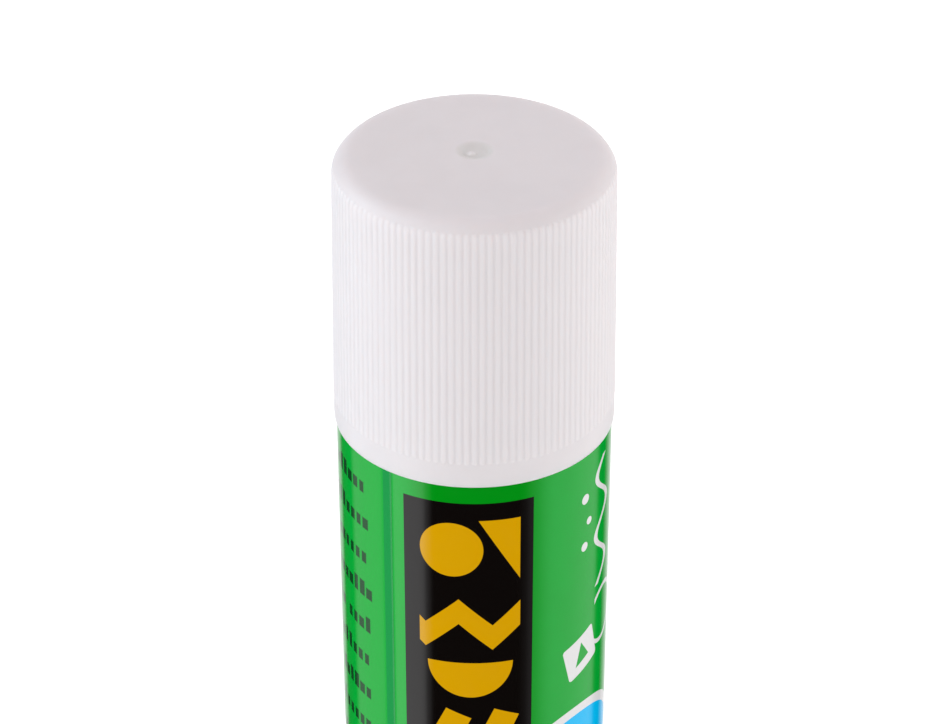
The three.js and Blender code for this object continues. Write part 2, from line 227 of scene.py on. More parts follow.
# ------------------------------------------------------------------ node maths
class Shader:
    """Builds one material. Numbers or sockets go in, sockets come out."""

    def __init__(self, name):
        self.mat = bpy.data.materials.new(name)
        self.mat.use_nodes = True
        self.nt = self.mat.node_tree
        self.nt.nodes.clear()
        self.out = self.nt.nodes.new("ShaderNodeOutputMaterial")
        self.bsdf = self.nt.nodes.new("ShaderNodeBsdfPrincipled")
        self.nt.links.new(self.bsdf.outputs[0], self.out.inputs["Surface"])
        coord = self.nt.nodes.new("ShaderNodeTexCoord")
        self.obj = coord.outputs["Object"]

    def put(self, socket, value):
        if isinstance(value, bpy.types.NodeSocket):
            self.nt.links.new(value, socket)
        else:
            socket.default_value = value

    def set(self, **values):
        for key, value in values.items():
            self.put(self.bsdf.inputs[key.replace("_", " ")], value)

    def m(self, op, *args, clamp=False):
        node = self.nt.nodes.new("ShaderNodeMath")
        node.operation = op
        node.use_clamp = clamp
        for i, v in enumerate(args):
            self.put(node.inputs[i], v)
        return node.outputs[0]

    def add(self, a, b): return self.m("ADD", a, b)
    def sub(self, a, b): return self.m("SUBTRACT", a, b)
    def mul(self, a, b): return self.m("MULTIPLY", a, b)
    def div(self, a, b): return self.m("DIVIDE", a, b)
    def lo(self, a, b): return self.m("MINIMUM", a, b)
    def hi(self, a, b): return self.m("MAXIMUM", a, b)
    def abs(self, a): return self.m("ABSOLUTE", a)

    def both(self, a, b): return self.mul(a, b)
    def either(self, *masks):
        out = masks[0]
        for x in masks[1:]:
            out = self.hi(out, x)
        return out

    def ramp(self, value, a, b, lo=0.0, hi=1.0, smooth=True):
        node = self.nt.nodes.new("ShaderNodeMapRange")
        node.interpolation_type = "SMOOTHSTEP" if smooth else "LINEAR"
        node.clamp = True
        self.put(node.inputs["Value"], value)
        for key, v in (("From Min", a), ("From Max", b), ("To Min", lo), ("To Max", hi)):
            self.put(node.inputs[key], v)
        return node.outputs[0]

    def inside(self, distance, soft=0.05):
        """1 where a distance in mm is below zero."""
        return self.ramp(distance, soft / 2, -soft / 2)

    def xyz(self, vector=None, scale=1000.0):
        node = self.nt.nodes.new("ShaderNodeSeparateXYZ")
        self.nt.links.new(self.obj if vector is None else vector, node.inputs[0])
        return [self.mul(node.outputs[i], scale) for i in range(3)]

    def vector(self, x, y, z):
        node = self.nt.nodes.new("ShaderNodeCombineXYZ")
        for i, v in enumerate((x, y, z)):
            self.put(node.inputs[i], v)
        return node.outputs[0]

    def noise(self, vector, scale, detail=2.0, rough=0.5, dist=0.0):
        node = self.nt.nodes.new("ShaderNodeTexNoise")
        self.nt.links.new(vector, node.inputs["Vector"])
        for key, v in (("Scale", scale), ("Detail", detail), ("Roughness", rough), ("Distortion", dist)):
            node.inputs[key].default_value = v
        return node.outputs["Fac"]

    def white(self, w):
        node = self.nt.nodes.new("ShaderNodeTexWhiteNoise")
        node.noise_dimensions = "1D"
        self.put(node.inputs["W"], w)
        return node.outputs["Value"]

    def mix(self, factor, a, b):
        node = self.nt.nodes.new("ShaderNodeMix")
        node.data_type = "RGBA"
        self.put(node.inputs[0], factor)
        for socket, v in ((node.inputs[6], a), (node.inputs[7], b)):
            self.put(socket, (*v, 1.0) if isinstance(v, tuple) and len(v) == 3 else v)
        return node.outputs[2]

    def bump(self, height, strength, distance, normal=None):
        node = self.nt.nodes.new("ShaderNodeBump")
        node.inputs["Strength"].default_value = strength
        node.inputs["Distance"].default_value = distance
        self.put(node.inputs["Height"], height)
        if normal is not None:
            self.put(node.inputs["Normal"], normal)
        return node.outputs[0]

    # distances in mm, on a flat (s, z) sheet
    def disc(self, s, z, cs, cz, r):
        x, y = self.sub(s, cs), self.sub(z, cz)
        return self.sub(self.m("SQRT", self.add(self.mul(x, x), self.mul(y, y))), r)

    def half(self, s, z, ps, pz, degrees):
        """Half plane through (ps, pz); its inside lies away from the direction given."""
        c, d = math.cos(math.radians(degrees)), math.sin(math.radians(degrees))
        return self.add(self.mul(self.sub(s, ps), c), self.mul(self.sub(z, pz), d))

    def box(self, s, z, cs, cz, hs, hz, degrees=0.0, r=0.0):
        x, y = self.sub(s, cs), self.sub(z, cz)
        if degrees:
            c, d = math.cos(math.radians(degrees)), math.sin(math.radians(degrees))
            x, y = self.add(self.mul(x, c), self.mul(y, d)), self.sub(self.mul(y, c), self.mul(x, d))
        qx, qy = self.sub(self.abs(x), hs - r), self.sub(self.abs(y), hz - r)
        ox, oy = self.hi(qx, 0.0), self.hi(qy, 0.0)
        outer = self.m("SQRT", self.add(self.mul(ox, ox), self.mul(oy, oy)))
        return self.sub(self.add(outer, self.lo(self.hi(qx, qy), 0.0)), r)

    def polygon(self, s, z, corners):
        """Convex outline, corners counter-clockwise in (s, z)."""
        out = None
        for (s0, z0), (s1, z1) in zip(corners, corners[1:] + corners[:1]):
            d = self.half(s, z, s0, z0, math.degrees(math.atan2(-(s1 - s0), z1 - z0)))
            out = d if out is None else self.hi(out, d)
        return out

    def ring(self, distance, width):
        return self.sub(self.abs(distance), width / 2)


# ------------------------------------------------------------------ materials
def white_plastic(name, colour, rough=0.42, subsurface=0.5, ribbed=False, gate=None):
    """Satin moulded polypropylene: faint flow shading, spark-eroded grain, rib crests painted a shade lighter than the
    grooves as painted light and painted shade on the ribs.
    """
    k = Shader(name)
    large = k.noise(k.obj, 90.0, 2.0)
    flow = k.noise(k.obj, 420.0, 3.0)
    tone = k.add(k.ramp(large, 0.3, 0.7, -0.006, 0.006), k.ramp(flow, 0.3, 0.7, -0.004, 0.004))
    darker, lighter = tuple(c * 0.985 for c in colour), tuple(min(1.0, c * 1.01) for c in colour)
    body = k.mix(k.ramp(tone, -0.01, 0.01), darker, lighter)
    if ribbed:
        # painted light: the rib crests are painted lighter than the grooves, standing in for the shade between the ribs
        rib = k.nt.nodes.new("ShaderNodeAttribute")
        rib.attribute_name = "rib"
        body = k.mix(k.ramp(rib.outputs["Fac"], 0.15, 0.85, 0.0, 1.0), body, tuple(min(1.0, c * RIB_CREST_PAINTED_LIGHT) for c in colour))
    if gate:
        # painted shade: the recess round the gate's stub is painted darker, less so close to a point just left of and
        # in front of its centre
        x, y, z = k.xyz()
        pit = k.both(k.inside(k.disc(x, y, gate[0], gate[1], 1.66), 0.55), k.ramp(z, gate[2] - 1.0, gate[2] - 0.9))
        pit = k.both(pit, k.ramp(k.disc(x, y, gate[0] - 0.35, gate[1] - 0.05, 0.0), 0.25, 0.55, 0.2, 1.0))
        pit = k.both(pit, k.ramp(k.noise(k.obj, 1500.0, 2.0), 0.3, 0.7, 0.75, 1.1))
        body = k.mix(pit, body, tuple(c * w for c, w in zip(colour, (0.935, 0.96, 0.93))))
    k.set(Base_Color=body)
    fine = k.noise(k.obj, 5200.0, 2.0)
    k.set(Roughness=k.add(k.ramp(fine, 0.3, 0.7, -0.03, 0.03), rough))
    k.set(Normal=k.bump(k.add(k.mul(fine, 0.6), k.mul(flow, 0.4)), 0.12, 0.00004))
    k.bsdf.inputs["IOR"].default_value = 1.49
    k.bsdf.inputs["Subsurface Weight"].default_value = subsurface
    k.bsdf.inputs["Subsurface Radius"].default_value = (1.0, 0.93, 0.9)
    k.bsdf.inputs["Subsurface Scale"].default_value = 0.0014
    return k.mat


def label_film():
    """Printed glossy film: green ground, dark panel with yellow cut-paper shapes, plain bars for wording, a blue field with white line figures."""
    k = Shader("label_film")
    x, y, z = k.xyz()
    az = k.m("ARCTAN2", x, k.mul(y, -1.0))
    s = k.mul(az, 13.2)
    back = k.mul(k.m("ARCTAN2", k.mul(x, -1.0), y), 13.2)   # arc length from the rear

    green, green_dark, green_deep = (0.001, 0.400, 0.035), (0.001, 0.388, 0.033), (0.0003, 0.290, 0.007)
    green_left = (0.001, 0.425, 0.040)
    black, yellow = (0.0042, 0.0030, 0.0026), (0.70, 0.365, 0.0005)
    blue, white = (0.0005, 0.53, 0.95), (0.80, 0.80, 0.80)
    ink = (0.003, 0.070, 0.014)

    print_noise = k.noise(k.obj, 260.0, 3.0)
    colour = k.mix(k.ramp(print_noise, 0.35, 0.65), green, green_dark)
    # the ground is darker behind the dark panel and a shade lighter to its left
    colour = k.mix(k.both(k.ramp(s, -2.5, -7.5), k.ramp(s, -34.0, -24.0)), colour, green_left)
    colour = k.mix(k.ramp(k.abs(k.sub(s, 0.5)), 3.9, 7.8), green_deep, colour)

    # rows of small plain marks, in place of wording
    def rows(sc, right, pitch, low, high, seed, left, size):
        v = k.div(k.sub(z, low), pitch)
        row = k.m("FLOOR", v)
        up = k.mul(k.sub(k.sub(v, row), 0.5), pitch)
        end = k.add(right, k.mul(k.white(k.add(row, seed)), -1.0 * size))
        along = k.div(k.sub(end, sc), 1.12 * size)
        cell = k.m("FLOOR", along)
        inner = k.mul(k.sub(k.sub(along, cell), 0.5), 1.12 * size)
        dice = k.white(k.add(k.add(k.mul(row, 41.0), cell), seed))
        there = k.either(k.ramp(dice, 0.115, 0.125, smooth=False), k.inside(k.sub(cell, 1.5)))
        tall = k.mul(k.ramp(dice, 0.70, 0.71, smooth=False), 0.55 * size)
        width = k.add(0.33 * size, k.mul(k.white(k.add(k.mul(dice, 97.0), 3.3)), 0.14 * size))
        block = k.hi(k.sub(k.abs(inner), width), k.hi(k.sub(-0.62 * size, up), k.sub(up, k.add(0.62 * size, tall))))
        zone = k.hi(k.sub(sc, end), k.hi(k.sub(left, sc), k.hi(k.sub(low, z), k.sub(z, high))))
        return k.both(k.both(k.inside(block, 0.16), there), k.inside(zone, 0.1))

    colour = k.mix(rows(s, -10.9, 4.07, 15.93, 69.0, 3.0, -27.5, 1.0), colour, ink)
    colour = k.mix(rows(back, 10.5, 2.6, 28.0, 62.0, 71.0, -9.0, 0.72), colour, ink)

    # film lapped over its own start
    lap = k.inside(k.hi(k.sub(SEAM_FROM * math.pi / 180 * 13.2, s), k.sub(s, SEAM_TO * math.pi / 180 * 13.2)), 0.08)
    colour = k.mix(lap, colour, (0.001, 0.320, 0.060))

    # blue field with a white edge
    field = k.m("SMOOTH_MIN", k.box(s, z, 19.25, 24.4, 10.65, 10.0, 0.0, 1.5), k.disc(s, z, 11.25, 30.9, 9.15), 2.6)
    field = k.hi(field, k.sub(8.65, s))
    colour = k.mix(k.inside(k.sub(field, 1.05)), colour, white)
    colour = k.mix(k.inside(field), colour, blue)
    # white line figures on the blue field
    figures = k.either(
        k.inside(k.ring(k.disc(s, z, 12.9, 32.6, 3.4), 0.5)),
        k.inside(k.box(s, z, 12.9, 32.0, 0.35, 1.6)),
        k.inside(k.polygon(s, z, [(11.6, 33.0), (14.2, 33.0), (12.9, 34.9)])),
        k.inside(k.ring(k.disc(s, z, 12.9, 21.6, 3.4), 0.5)),
        k.inside(k.box(s, z, 12.9, 22.2, 0.35, 1.6)),
        k.inside(k.polygon(s, z, [(12.9, 19.3), (14.2, 21.2), (11.6, 21.2)])),
        k.inside(k.ring(k.disc(s, z, 22.5, 27.2, 5.2), 0.55)),
        k.inside(k.ring(k.disc(s, z, 22.5, 27.2, 3.0), 0.9)),
        k.inside(k.disc(s, z, 22.5, 27.2, 1.0)),
    )
    colour = k.mix(figures, colour, white)

    # dark panel
    panel = k.box(s, z, -0.60, 43.2, 6.33, 25.33)
    colour = k.mix(k.inside(panel), colour, black)
    # yellow cut-paper shapes
    wave = k.abs(k.sub(k.mul(k.sub(k.m("FRACT", k.div(k.add(s, 60.0), 6.5)), 0.5), 6.5), 0.0))
    zig = k.hi(k.sub(k.abs(k.sub(z, k.add(53.0, k.mul(wave, 0.95)))), 1.45), k.sub(k.abs(k.add(s, 0.45)), 4.9))
    low_wave = k.m("SINE", k.mul(s, 1.05))
    ripple = k.hi(k.sub(k.abs(k.sub(z, k.add(29.6, k.mul(low_wave, 0.9)))), 0.95), k.sub(k.abs(k.add(s, 0.45)), 4.9))
    shapes = k.either(
        k.inside(k.disc(s, z, -2.2, 63.2, 3.05)),
        k.inside(k.polygon(s, z, [(4.4, 59.6), (4.4, 66.6), (0.4, 66.6)])),
        k.inside(zig),
        k.inside(k.hi(k.disc(s, z, -0.4, 50.0, 4.15), k.half(s, z, -0.4, 50.0, 90.0))),
        k.inside(k.box(s, z, -2.7, 41.2, 1.35, 2.9, -24.0)),
        k.inside(k.box(s, z, 2.0, 41.2, 1.35, 2.9, -24.0)),
        k.inside(k.box(s, z, -2.5, 35.0, 1.75, 1.75, 45.0)),
        k.inside(k.polygon(s, z, [(4.4, 33.0), (2.2, 37.0), (0.0, 33.0)])),
        k.inside(ripple),
        k.inside(k.disc(s, z, 2.0, 23.6, 2.4)),
        k.inside(k.hi(k.disc(s, z, -2.9, 24.6, 2.4), k.half(s, z, -2.9, 24.6, 45.0))),
    )
    colour = k.mix(shapes, colour, yellow)

    # white brush lines and a tilted tag on the green
    curl = k.sub(k.abs(k.sub(s, k.add(15.6, k.mul(k.m("SINE", k.mul(z, 0.92)), 1.3)))), 0.38)
    curl = k.hi(curl, k.sub(k.abs(k.sub(z, 61.2)), 7.4))
    loop = k.hi(k.ring(k.disc(s, z, 16.4, 49.6, 3.1), 0.48), k.half(s, z, 14.4, 49.6, 180.0))
    tag = k.box(s, z, 12.1, 47.2, 2.35, 2.15, 14.0, 0.35)
    hole = k.polygon(s, z, [(11.2, 45.9), (13.3, 46.6), (12.0, 48.6)])
    whites = k.either(
        k.inside(curl), k.inside(loop),
        k.inside(k.hi(tag, k.mul(hole, -1.0))),
        k.inside(k.disc(s, z, 12.2, 65.4, 0.55)),
        k.inside(k.disc(s, z, 12.9, 62.6, 0.42)),
        k.inside(k.disc(s, z, 12.2, 59.9, 0.5)),
        k.inside(k.disc(s, z, 19.6, 66.0, 0.5)),
        k.inside(k.disc(s, z, 19.4, 57.0, 0.5)),
    )
    colour = k.mix(whites, colour, white)

    # rear: a plain pale box with two discs
    rear = k.box(back, z, 0.0, 21.0, 9.5, 4.2, 0.0, 0.8)
    colour = k.mix(k.inside(k.ring(rear, 0.4)), colour, white)
    dots = k.either(k.inside(k.disc(back, z, -5.6, 21.0, 2.3)), k.inside(k.disc(back, z, 0.0, 21.0, 2.3)), k.inside(k.disc(back, z, 5.6, 21.0, 2.3)))
    colour = k.mix(dots, colour, yellow)

    k.set(Base_Color=colour)
    haze = k.noise(k.obj, 700.0, 3.0)
    edge = SEAM_TO * math.pi / 180 * 13.2
    dull = k.inside(k.sub(k.abs(k.sub(s, edge)), 0.04), 0.06)
    k.set(Roughness=k.add(k.ramp(haze, 0.3, 0.7, 0.05, 0.09), k.mul(dull, 0.35)))
    pull = k.noise(k.vector(k.mul(s, 0.004), k.mul(z, 0.0012), 0.0), 60.0, 2.0)
    k.set(Normal=k.bump(pull, 0.25, 0.00003))
    k.bsdf.inputs["IOR"].default_value = 1.53
    return k.mat


def glue_mass():
    """Waxy solid adhesive: cast skin, fine drag lines down its side, small pits."""
    k = Shader("glue_mass")
    x, y, z = k.xyz()
    az = k.m("ARCTAN2", x, k.mul(y, -1.0))
    cloud = k.noise(k.obj, 160.0, 4.0, 0.6)
    colour = k.mix(k.ramp(cloud, 0.35, 0.65), (0.825, 0.805, 0.73), (0.855, 0.838, 0.77))
    k.set(Base_Color=colour)
    drag = k.noise(k.vector(k.mul(az, 1.6), 0.0, k.mul(z, 0.004)), 22.0, 3.0)
    pits = k.noise(k.obj, 2400.0, 2.0)
    pit = k.ramp(pits, 0.30, 0.40)
    k.set(Roughness=k.ramp(cloud, 0.3, 0.7, 0.40, 0.56))
    first = k.bump(drag, 0.35, 0.00012)
    k.set(Normal=k.bump(pit, 0.25, 0.00006, first))
    k.bsdf.inputs["IOR"].default_value = 1.47
    k.bsdf.inputs["Subsurface Weight"].default_value = 0.6
    k.bsdf.inputs["Subsurface Radius"].default_value = (1.0, 0.8, 0.55)
    k.bsdf.inputs["Subsurface Scale"].default_value = 0.0016
    return k.mat


PLASTIC = (0.795, 0.765, 0.775)
# how much lighter the rib crests are painted than the grooves: painted light on the crests, painted shade in the
# grooves
RIB_CREST_PAINTED_LIGHT = 1.02
cap_mat = white_plastic("cap_plastic", PLASTIC, subsurface=1.0, ribbed=True, gate=(0.05, 0.72, TOP))
knob_mat = white_plastic("knob_plastic", PLASTIC, subsurface=1.0, ribbed=True)
barrel_mat = white_plastic("barrel_plastic", (0.82, 0.815, 0.805), 0.30, 0.15)
carrier_mat = white_plastic("carrier_plastic", (0.78, 0.77, 0.74), 0.36, 0.2)
spindle_mat = white_plastic("spindle_plastic", (0.78, 0.78, 0.77), 0.36, 0.2)
film_mat = label_film()
glue_mat = glue_mass()


# ------------------------------------------------------------------ cap
TIPS = (0.04, 0.09, 0.14, 0.19, 0.24, 0.31)


def cap_rows():
    """From the mouth up the inside to the axis, then down the outside, as one closed loop."""
    t = TOP - 1.53
    inside = rounded([
        (13.1, CAP_Z, 0), (12.30, CAP_Z, 0.12), (11.98, CAP_Z + 0.55, 0.3),
        (11.92, 74.2, 0.5), (12.15, 75.0, 0.4), (12.15, 76.0, 0.4), (11.90, 76.8, 0.5),
        (11.60, t - 0.5, 0.2), (11.25, t, 0.2), (10.30, t, 0.15), (10.25, CAP_Z + 15.9, 0.2),
        (10.05, CAP_Z + 15.5, 0.12), (9.65, CAP_Z + 15.5, 0.12), (9.5, CAP_Z + 15.8, 0.2), (9.45, t - 0.3, 0.2), (9.2, t, 0.2),
        (0, t),
    ], closed=False)
    rows = [(13.17, CAP_Z + 0.004), (13.1, CAP_Z)] + coarse(inside[1:])
    # gate dimple with the broken gate's stub, a little behind the axis
    nub, slip, g = ("ring", -0.25, 0.50), ("ring", -0.1, 0.60), ("ring", 0.05, 0.72)
    dimple = [(0, -0.13, nub), (0.12, -0.132, nub), (0.24, -0.15, nub), (0.33, -0.19, nub), (0.39, -0.245, nub), (0.47, -0.278, nub), (0.62, -0.285, nub), (0.9, -0.265, slip), (1.08, -0.235, g), (1.25, -0.185, g),
              (1.42, -0.125, g), (1.55, -0.078, g), (1.68, -0.038, g), (1.8, -0.013, g), (1.92, -0.002, g), (2.02, 0.0, g)]
    rows += [(r, TOP + z, tag) for r, z, tag in dimple]
    R = 1.72
    cx, cz = 13.01 - RIB_H - R, TOP - R
    rows += coarse([(6.0, TOP), (9.5, TOP), (cx - 0.4, TOP)])
    # top rounding: the ribs run a little way onto it
    end = 20.0
    for k, deg in enumerate((88, 82, 76, 70, 64, 58, 52, 46, 40)):
        rows.append((cx + R * math.cos(math.radians(deg)), cz + R * math.sin(math.radians(deg)), "coarse" if deg > 60 else None))
    for past in reversed(TIPS):
        a = math.radians(end + math.degrees(past / R))
        rows.append((cx + R * math.cos(a), cz + R * math.sin(a), past))
    for deg in (20, 13, 6, 0):
        rows.append((cx + R * math.cos(math.radians(deg)), cz + R * math.sin(math.radians(deg)), 0.0))
    # wall, flaring out at the ribs' feet to the plain band
    z_lo = CAP_Z + 2.78

    def wall(z):
        straight = cx + R + (13.375 - RIB_H - cx - R) * (cz - z) / (cz - CAP_Z)
        return straight + (RIB_H - 0.046) * min(1.0, max(0.0, (CAP_Z + 3.3 - z) / 1.2))

    rows += [(wall(z), z, 0.0) for z in (93.0, 83.0, CAP_Z + 3.4, CAP_Z + 3.0, z_lo)]
    rows += [(wall(z_lo - past), z_lo - past, past) for past in TIPS]
    rows += [(wall(CAP_Z + z), CAP_Z + z) for z in (2.3, 1.9, 1.2)]
    rows += [(13.33, CAP_Z + 0.6), (13.322, CAP_Z + 0.32), (13.305, CAP_Z + 0.16), (13.27, CAP_Z + 0.06), (13.22, CAP_Z + 0.018)]
    return rows


cap = revolve("cap_shell", cap_rows(), rib_angles(), cap_mat, offset=rib_offset, every=5, mask=RIB_H)
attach(cap, "cap"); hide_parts("cap")


# ------------------------------------------------------------------ knob
def knob_rows():
    h = 10.9
    inside = rounded([
        (13.0, h, 0), (12.25, h, 0.12), (12.0, h - 0.35, 0.3), (12.0, 2.5, 0.2), (11.7, 2.2, 0.2),
        (5.6, 2.2, 0.2), (5.4, 2.5, 0.2), (5.4, 4.9, 0.25), (4.4, 4.9),
    ], closed=False)
    rows = [(13.12, h - 0.004), (13.0, h)] + coarse(inside[1:])
    rows += [(4.3, 4.9, "hex"), (4.12, 4.82, "hex"), (4.05, 4.65, "hex"), (4.05, 2.15, "hex"), (4.0, 2.07, "hex"), (3.9, 2.05, "hex")] + coarse([(3.0, 2.05), (0, 2.05)])
    rows += coarse([(0, 0.98), (0.35, 0.98), (0.6, 0.94), (0.85, 0.84), (1.1, 0.74), (1.35, 0.70)])
    foot = rounded([(1.4, 0.70), (10.25, 0.70, 0.25), (10.6, 0.0, 0.15), (12.55, 0.0, 0.25), (13.05, 0.22, 0.4), (13.24, 0.95, 0.6), (13.29, 1.7)], closed=False)
    rows += coarse([p for p in foot if p[1] < 0.9])
    rows += [(p[0], p[1]) for p in foot if p[1] >= 0.9]
    z_lo, z_hi = 2.25, 8.55
    rows += [(13.29, z_lo - past, past) for past in reversed(TIPS)]
    rows += [(13.29, z, 0.0) for z in (z_lo, 3.5, 7.3, z_hi)]
    rows += [(13.29, z_hi + past, past) for past in TIPS]
    rows += [(13.30, h - 1.7), (13.31, h - 1.2), (13.31, h - 0.6), (13.30, h - 0.3), (13.275, h - 0.13), (13.23, h - 0.045), (13.18, h - 0.015)]
    return rows


knob = revolve("knob_shell", knob_rows(), rib_angles(), knob_mat, offset=rib_offset, every=5, mask=RIB_H)
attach(knob, "knob"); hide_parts("knob")


# turning arrows raised inside the foot ring, seen from below
def knob_arrows():
    verts, faces = [], []
    for mid in (0.0, 120.0, 240.0):
        a0, a1, steps = mid - 38, mid + 24, 16
        outline = [(7.9, a0 + (a1 - a0) * i / steps) for i in range(steps + 1)]
        outline += [(8.9, a1), (7.2, a1 + 13), (5.5, a1)]
        outline += [(6.5, a1 - (a1 - a0) * i / steps) for i in range(steps + 1)]
        first, n = len(verts), len(outline)
        for z in (0.45, 0.86):
            verts += [(r * math.sin(math.radians(a)), -r * math.cos(math.radians(a)), z) for r, a in outline]
        faces.append(tuple(first + i for i in range(n)))
        faces.append(tuple(first + i for i in range(2 * n - 1, n - 1, -1)))
        faces += [(first + i, first + (i + 1) % n, first + n + (i + 1) % n, first + n + i)[::-1] for i in range(n)]
    obj = mesh_object("knob_arrows", verts, faces, knob_mat, smooth=False)
    mod = obj.modifiers.new("bevel", "BEVEL")
    mod.width = 0.00006
    mod.segments = 2
    mod.limit_method = "ANGLE"
    return obj


arrows = knob_arrows()
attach(arrows, "knob")


# ------------------------------------------------------------------ barrel
def barrel_offset(degrees, r, z, tag):
    if tag != "key":
        return 0.0
    out = np.zeros(len(degrees))
    for key in KEYS:
        d = np.abs((degrees - key + 180) % 360 - 180)
        out = np.maximum(out, np.clip((2.75 - d) / 0.15, 0, 1))
    return -0.5 * out


def barrel_rows():
    outer = rounded([
        (10.1, 3.2, 0.1), (11.3, 3.2, 0.2), (11.6, 3.6, 0.2), (11.6, 11.2, 0.1), (12.75, 11.2, 0.12), (12.98, 11.42, 0.15),
        (12.98, 69.95, 0.15), (12.75, 70.17, 0.12), (11.5, 70.17, 0.15), (11.5, 74.5, 0.5), (11.8, 75.2, 0.25), (11.8, 75.8, 0.25), (11.5, 76.7, 0.5),
        (11.42, 87.7, 0.3), (11.2, 88.0, 0.2), (10.85, 88.0, 0.2), (10.6, 87.7, 0.2),
    ], closed=False)
    rows = [(r, z) for r, z in outer]
    rows += [(10.6, 86.6), (10.6, 85.35), (10.6, 85.0, "key"), (10.6, 84.9, "key"), (10.6, 50.0, "key"), (10.6, 11.1, "key"), (10.6, 11.0, "key"), (10.6, 10.8)]
    rows += rounded([(10.6, 10.8), (10.6, 7.2, 0.1), (10.35, 7.0, 0.1), (3.75, 7.0, 0.1), (3.75, 5.2, 0.1), (10.1, 5.2, 0.1), (10.1, 3.2)], closed=False)[1:-1]
    return rows


barrel = revolve("barrel_shell", barrel_rows(), key_angles(), barrel_mat, closed=True, offset=barrel_offset)
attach(barrel, "barrel"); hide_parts("barrel")


# ------------------------------------------------------------------ label: one wrap, its end lapped over its start
def film():
    """The two ends are pressed thinner where they lap, so the joint stands only a little proud."""
    under = FILM_R - FILM_T
    start, end = SEAM_FROM, SEAM_TO + 360
    lap = SEAM_FROM + 360
    press = 0.8
    thin, gap = 0.035, 0.004

    def ease(t):
        t = min(1.0, max(0.0, t))
        return 3 * t * t - 2 * t ** 3

    def first(a):
        """Thickness of the lower end, thin under the lap and full past it."""
        return thin + (FILM_T - thin) * ease((a - (SEAM_TO - press)) / press)

    angles = [start, start + 0.9, start + 1.8, start + 2.7] + list(np.linspace(SEAM_TO - press, SEAM_TO, 6)) + list(np.arange(SEAM_TO + 1.0, lap - 7, 1.5))
    angles += list(np.linspace(lap - 7, lap - 0.4, 9)) + list(np.linspace(lap + 0.5, end - press, 5)) + list(np.linspace(end - press, end, 6))[1:]

    def inner(a):
        if a < lap - 7:
            return under
        if a < lap - 0.4:
            return under + (thin + gap) * ease((a - lap + 7) / 6.6)
        return under + first(a - 360) + gap

    def outer(a):
        if a < SEAM_TO:
            return under + first(a)
        if a < lap - 7:
            return under + FILM_T
        return under + FILM_T + 0.018 * ease((a - lap + 7) / 6.6) - 0.006 * ease((a - end + press) / press)

    lo, hi = 11.5, 70.36
    levels = [lo, lo + 0.05, 25.0, 40.0, 55.0, hi - 0.05, hi]
    verts, faces = [], []
    n, m = len(angles), len(levels)
    for side in (0, 1):
        for z in levels:
            for a in angles:
                r = outer(a) if side else inner(a)
                verts.append((r * math.sin(math.radians(a)), -r * math.cos(math.radians(a)), z))

    def v(side, j, i):
        return side * n * m + j * n + i

    for j in range(m - 1):
        for i in range(n - 1):
            faces.append((v(1, j, i), v(1, j, i + 1), v(1, j + 1, i + 1), v(1, j + 1, i)))
            faces.append((v(0, j + 1, i), v(0, j + 1, i + 1), v(0, j, i + 1), v(0, j, i)))
        faces.append((v(0, j, 0), v(1, j, 0), v(1, j + 1, 0), v(0, j + 1, 0)))
        faces.append((v(1, j, n - 1), v(0, j, n - 1), v(0, j + 1, n - 1), v(1, j + 1, n - 1)))
    for i in range(n - 1):
        faces.append((v(0, 0, i), v(0, 0, i + 1), v(1, 0, i + 1), v(1, 0, i)))
        faces.append((v(1, m - 1, i), v(1, m - 1, i + 1), v(0, m - 1, i + 1), v(0, m - 1, i)))
    obj = mesh_object("label_wrap", verts, faces, film_mat)
    sharp = obj.data.attributes.new("sharp_edge", "BOOLEAN", "EDGE")
    flags = []
    for e in obj.data.edges:
        a, b = e.vertices
        sa, sb = a // (n * m), b // (n * m)
        ja, jb = (a % (n * m)) // n, (b % (n * m)) // n
        ia, ib = a % n, b % n
        edge = (ja == jb and ja in (0, m - 1)) or (ia == ib and ia in (0, n - 1)) or sa != sb
        flags.append(edge)
    sharp.data.foreach_set("value", flags)
    return obj


label = film()
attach(label, "barrel"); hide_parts("label")


# ------------------------------------------------------------------ glue
def glue_offset(degrees, r, z, tag):
    if tag is None:
        return 0.0
    out = np.zeros(len(degrees))
    for key in KEYS:
        d = np.abs((degrees - key + 180) % 360 - 180)
        out = np.maximum(out, np.clip((4.9 - d) / 0.5, 0, 1))
    a = np.radians(degrees)
    uneven = 0.02 * np.sin(3 * a + 0.13 * z) + 0.015 * np.sin(7 * a - 0.07 * z)
    return -0.5 * out * tag + uneven - 0.035


def glue_rows():
    t = 85.5
    rows = [(0, t - 0.22), (1.2, t - 0.215), (2.6, t - 0.19), (4.4, t - 0.13), (6.4, t - 0.06), (8.2, t - 0.015), (9.2, t - 0.01)]
    rows += [(9.55, t - 0.02), (9.85, t - 0.08, 0.35), (10.05, t - 0.2, 0.7), (10.2, t - 0.4, 0.95), (10.27, t - 0.65, 1.0), (10.3, t - 1.0, 1.0)]
    rows += [(10.3, z, 1.0) for z in np.linspace(t - 3.0, 23.5, 22)]
    rows += [(10.3, 21.6, 1.0), (10.28, 21.35, 1.0), (10.2, 21.3, 1.0), (9.3, 21.3), (9.1, 21.25), (9.05, 21.1), (9.05, 11.1), (8.95, 10.95), (8.8, 10.9), (5.0, 10.9), (4.85, 10.95), (4.8, 11.1),
             (4.8, 18.1), (4.75, 18.25), (4.6, 18.3), (3.4, 18.3), (3.25, 18.35), (3.2, 18.5), (3.2, 79.9), (3.1, 80.1), (0, 80.8)]
    return rows


glue = revolve("glue_stick_mass", glue_rows(), sorted(set(np.round(np.arange(240) * 1.5, 4)) | {round((k + d) % 360, 4) for k in KEYS for d in (-4.9, -4.4, 4.4, 4.9)}), glue_mat, closed=False, offset=glue_offset)
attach(glue, "carrier"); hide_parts("glue")


# ------------------------------------------------------------------ spindle: hexagon foot, shank, snap cone, left-hand thread
LEAD = 5.0
THREAD_STEP = LEAD / 48      # rows this far apart meet the helix at every azimuth


